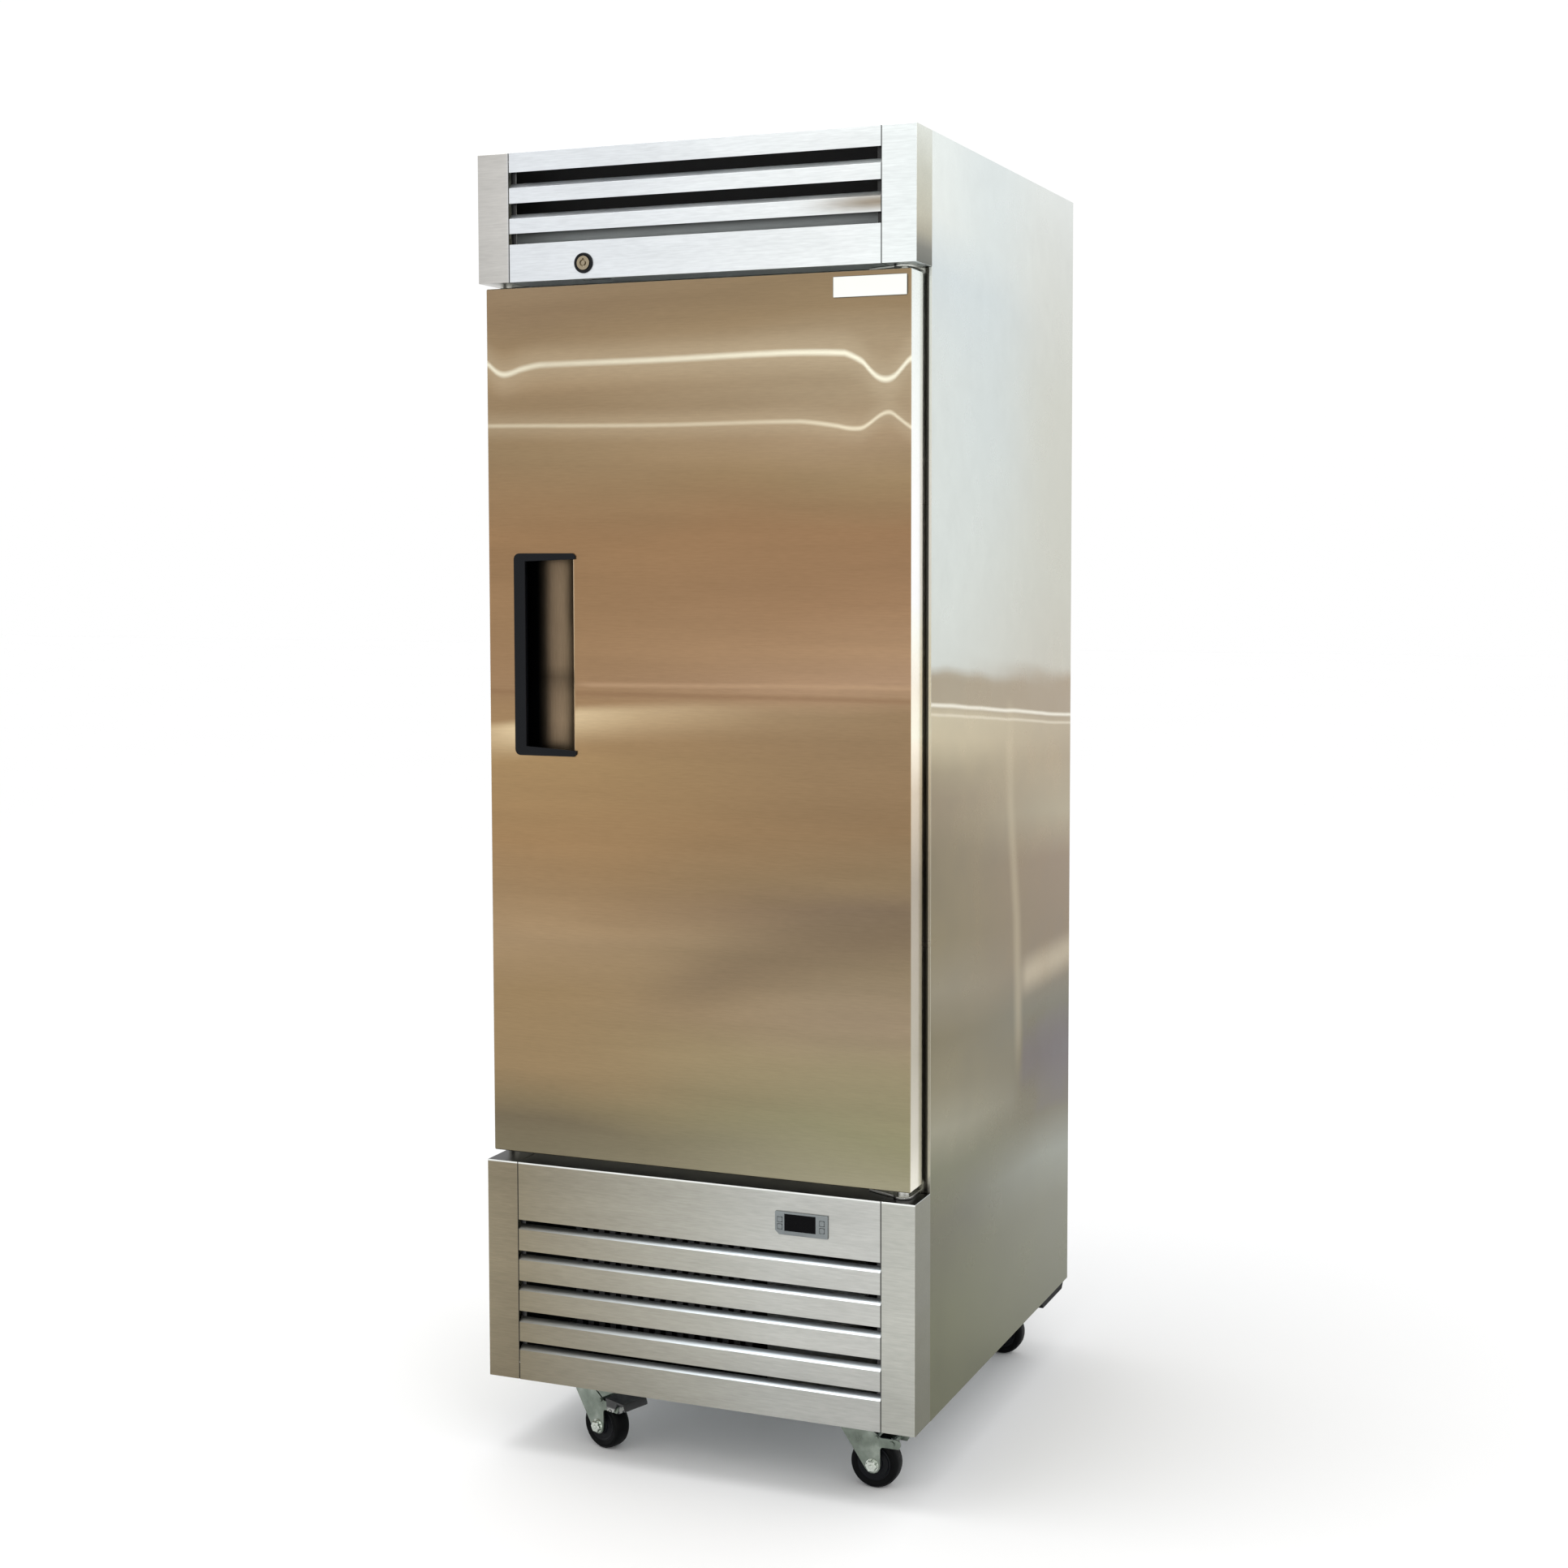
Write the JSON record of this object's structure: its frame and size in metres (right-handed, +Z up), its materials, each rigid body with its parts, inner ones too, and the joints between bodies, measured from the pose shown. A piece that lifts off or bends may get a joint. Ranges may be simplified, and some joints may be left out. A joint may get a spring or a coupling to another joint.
{
  "type": "reach-in refrigerator",
  "caption": "Upright stainless reach-in refrigerator with a solid hinged door, recessed handle, louvred header and lower grille, bottom-mounted cooling unit and swivel casters.",
  "frame": {"origin": "on the floor, under the centre of the machine's footprint", "axes": "+X to the machine's right as seen from the front (hinge side), -Y out of the front, +Z up"},
  "size_m": [0.7, 0.822, 1.992],
  "materials": {
    "side_steel": "smooth glossy stainless sheet, cool grey",
    "fascia_steel": "horizontally brushed satin stainless",
    "door_steel": "glossy brushed stainless reflecting a warm room, bronze-tan",
    "scoop_steel": "polished stainless scoop",
    "liner_steel": "polished stainless",
    "hinge_steel": "satin stainless",
    "galvanised_steel": "galvanised, faint spangle",
    "zinc_plate": "zinc plated, slightly greenish",
    "fin_aluminium": "bare fins",
    "chrome": "polished",
    "shelf_wire": "coated wire, satin chrome",
    "black_plastic": "moulded, satin black",
    "grey_plastic": "moulded, silver grey",
    "white_plastic": "vacuum formed, white",
    "white_paint": "white powder coat",
    "badge_plate": "glossy white, blank",
    "display_window": "glossy black filter",
    "black_paint": "satin black enamel",
    "pedal_paint": "black coating worn bright at the tip",
    "foam": "foamed-in-place polyurethane",
    "gasket_rubber": "soft magnetic seal, satin black",
    "rubber_trim": "hard rubber",
    "wheel_rubber": "hard rubber tread"
  },
  "bodies": {
    "cabinet": {"side_panel_left": "side_steel", "side_panel_right": "side_steel", "header_post_left": "fascia_steel", "header_post_right": "fascia_steel", "grille_post_left": "fascia_steel", "grille_post_right": "fascia_steel", "header_louvre": "fascia_steel", "grille_louvre": "fascia_steel", "rear_skid_left": "rubber_trim", "rear_skid_right": "rubber_trim", "top_panel": "galvanised_steel", "back_panel": "galvanised_steel", "insulation": "foam", "inner_liner": "liner_steel", "face_frame": "liner_steel", "lock_housing": "black_plastic", "controller_bezel": "grey_plastic", "controller_window": "display_window", "hinge_top": "hinge_steel", "hinge_bottom": "hinge_steel", "base_pan": "galvanised_steel", "rear_cover": "galvanised_steel", "compressor": "black_paint", "condenser_coil": "black_paint", "fan_shroud": "black_paint", "condenser_fan_motor": "black_paint", "evaporator_cover": "white_paint", "evaporator_coil": "fin_aluminium", "evaporator_fan_motor": "black_paint", "shelf_lower": "shelf_wire", "shelf_middle": "shelf_wire", "shelf_upper": "shelf_wire", "caster_plate_front_left": "zinc_plate", "caster_plate_front_right": "zinc_plate", "caster_plate_rear_left": "zinc_plate", "caster_plate_rear_right": "zinc_plate"},
    "door": {"door_skin": "door_steel", "door_core": "foam", "door_inner": "white_plastic", "door_gasket": "gasket_rubber", "handle_frame": "black_plastic", "handle_scoop": "scoop_steel", "badge": "badge_plate"},
    "door_lock": {"lock_cylinder": "chrome"},
    "condenser_fan": {"condenser_fan": "fin_aluminium"},
    "evaporator_fan": {"evaporator_fan": "black_plastic"},
    "button_left_upper": {"button_left_upper": "grey_plastic"},
    "button_left_lower": {"button_left_lower": "grey_plastic"},
    "button_right_upper": {"button_right_upper": "grey_plastic"},
    "button_right_lower": {"button_right_lower": "grey_plastic"},
    "fork_front_left": {"caster_fork_front_left": "zinc_plate"},
    "wheel_front_left": {"caster_wheel_front_left": "wheel_rubber"},
    "pedal_front_left": {"brake_pedal_front_left": "pedal_paint"},
    "fork_front_right": {"caster_fork_front_right": "zinc_plate"},
    "wheel_front_right": {"caster_wheel_front_right": "wheel_rubber"},
    "fork_rear_left": {"caster_fork_rear_left": "zinc_plate"},
    "wheel_rear_left": {"caster_wheel_rear_left": "wheel_rubber"},
    "fork_rear_right": {"caster_fork_rear_right": "zinc_plate"},
    "wheel_rear_right": {"caster_wheel_rear_right": "wheel_rubber"}
  },
  "joints": [
    {"name": "door_hinge", "type": "hinge", "parent": "cabinet", "child": "door", "pos_m": [0.321, -0.3774, 1.1325], "axis": [0, 0, 1], "range_deg": [0, 120], "stiffness_Nm_per_rad": 3},
    {"name": "lock_turn", "type": "hinge", "parent": "cabinet", "child": "door_lock", "pos_m": [-0.172, -0.392, 1.823], "axis": [0, 1, 0], "range_deg": [0, 90]},
    {"name": "condenser_fan_spin", "type": "hinge", "parent": "cabinet", "child": "condenser_fan", "pos_m": [-0.09, -0.248, 0.273], "axis": [0, 1, 0], "continuous": true},
    {"name": "evaporator_fan_spin", "type": "hinge", "parent": "cabinet", "child": "evaporator_fan", "pos_m": [0, -0.06, 1.784], "axis": [0, 0, 1], "continuous": true},
    {"name": "button_left_upper_press", "type": "slide", "parent": "cabinet", "child": "button_left_upper", "axis": [0, 1, 0], "range_m": [0, 0.001], "stiffness_N_per_m": 300, "springref_m": -0.0004},
    {"name": "button_left_lower_press", "type": "slide", "parent": "cabinet", "child": "button_left_lower", "axis": [0, 1, 0], "range_m": [0, 0.001], "stiffness_N_per_m": 300, "springref_m": -0.0004},
    {"name": "button_right_upper_press", "type": "slide", "parent": "cabinet", "child": "button_right_upper", "axis": [0, 1, 0], "range_m": [0, 0.001], "stiffness_N_per_m": 300, "springref_m": -0.0004},
    {"name": "button_right_lower_press", "type": "slide", "parent": "cabinet", "child": "button_right_lower", "axis": [0, 1, 0], "range_m": [0, 0.001], "stiffness_N_per_m": 300, "springref_m": -0.0004},
    {"name": "swivel_front_left", "type": "hinge", "parent": "cabinet", "child": "fork_front_left", "pos_m": [-0.221, -0.319, 0.1], "axis": [0, 0, 1], "continuous": true},
    {"name": "roll_front_left", "type": "hinge", "parent": "fork_front_left", "child": "wheel_front_left", "pos_m": [-0.18507, -0.33137, 0.038], "axis": [0.3256, 0.9455, 0], "continuous": true},
    {"name": "brake_front_left", "type": "hinge", "parent": "fork_front_left", "child": "pedal_front_left", "pos_m": [-0.15576, -0.34146, 0.074], "axis": [0.3256, 0.9455, 0], "range_deg": [0, 11]},
    {"name": "swivel_front_right", "type": "hinge", "parent": "cabinet", "child": "fork_front_right", "pos_m": [0.221, -0.319, 0.1], "axis": [0, 0, 1], "continuous": true},
    {"name": "roll_front_right", "type": "hinge", "parent": "fork_front_right", "child": "wheel_front_right", "pos_m": [0.259, -0.319, 0.038], "axis": [0, 1, 0], "continuous": true},
    {"name": "swivel_rear_left", "type": "hinge", "parent": "cabinet", "child": "fork_rear_left", "pos_m": [-0.221, 0.319, 0.1], "axis": [0, 0, 1], "continuous": true},
    {"name": "roll_rear_left", "type": "hinge", "parent": "fork_rear_left", "child": "wheel_rear_left", "pos_m": [-0.18413, 0.32819, 0.038], "axis": [-0.2419, 0.9703, 0], "continuous": true},
    {"name": "swivel_rear_right", "type": "hinge", "parent": "cabinet", "child": "fork_rear_right", "pos_m": [0.221, 0.319, 0.1], "axis": [0, 0, 1], "continuous": true},
    {"name": "roll_rear_right", "type": "hinge", "parent": "fork_rear_right", "child": "wheel_rear_right", "pos_m": [0.259, 0.319, 0.038], "axis": [0, 1, 0], "continuous": true}
  ]
}
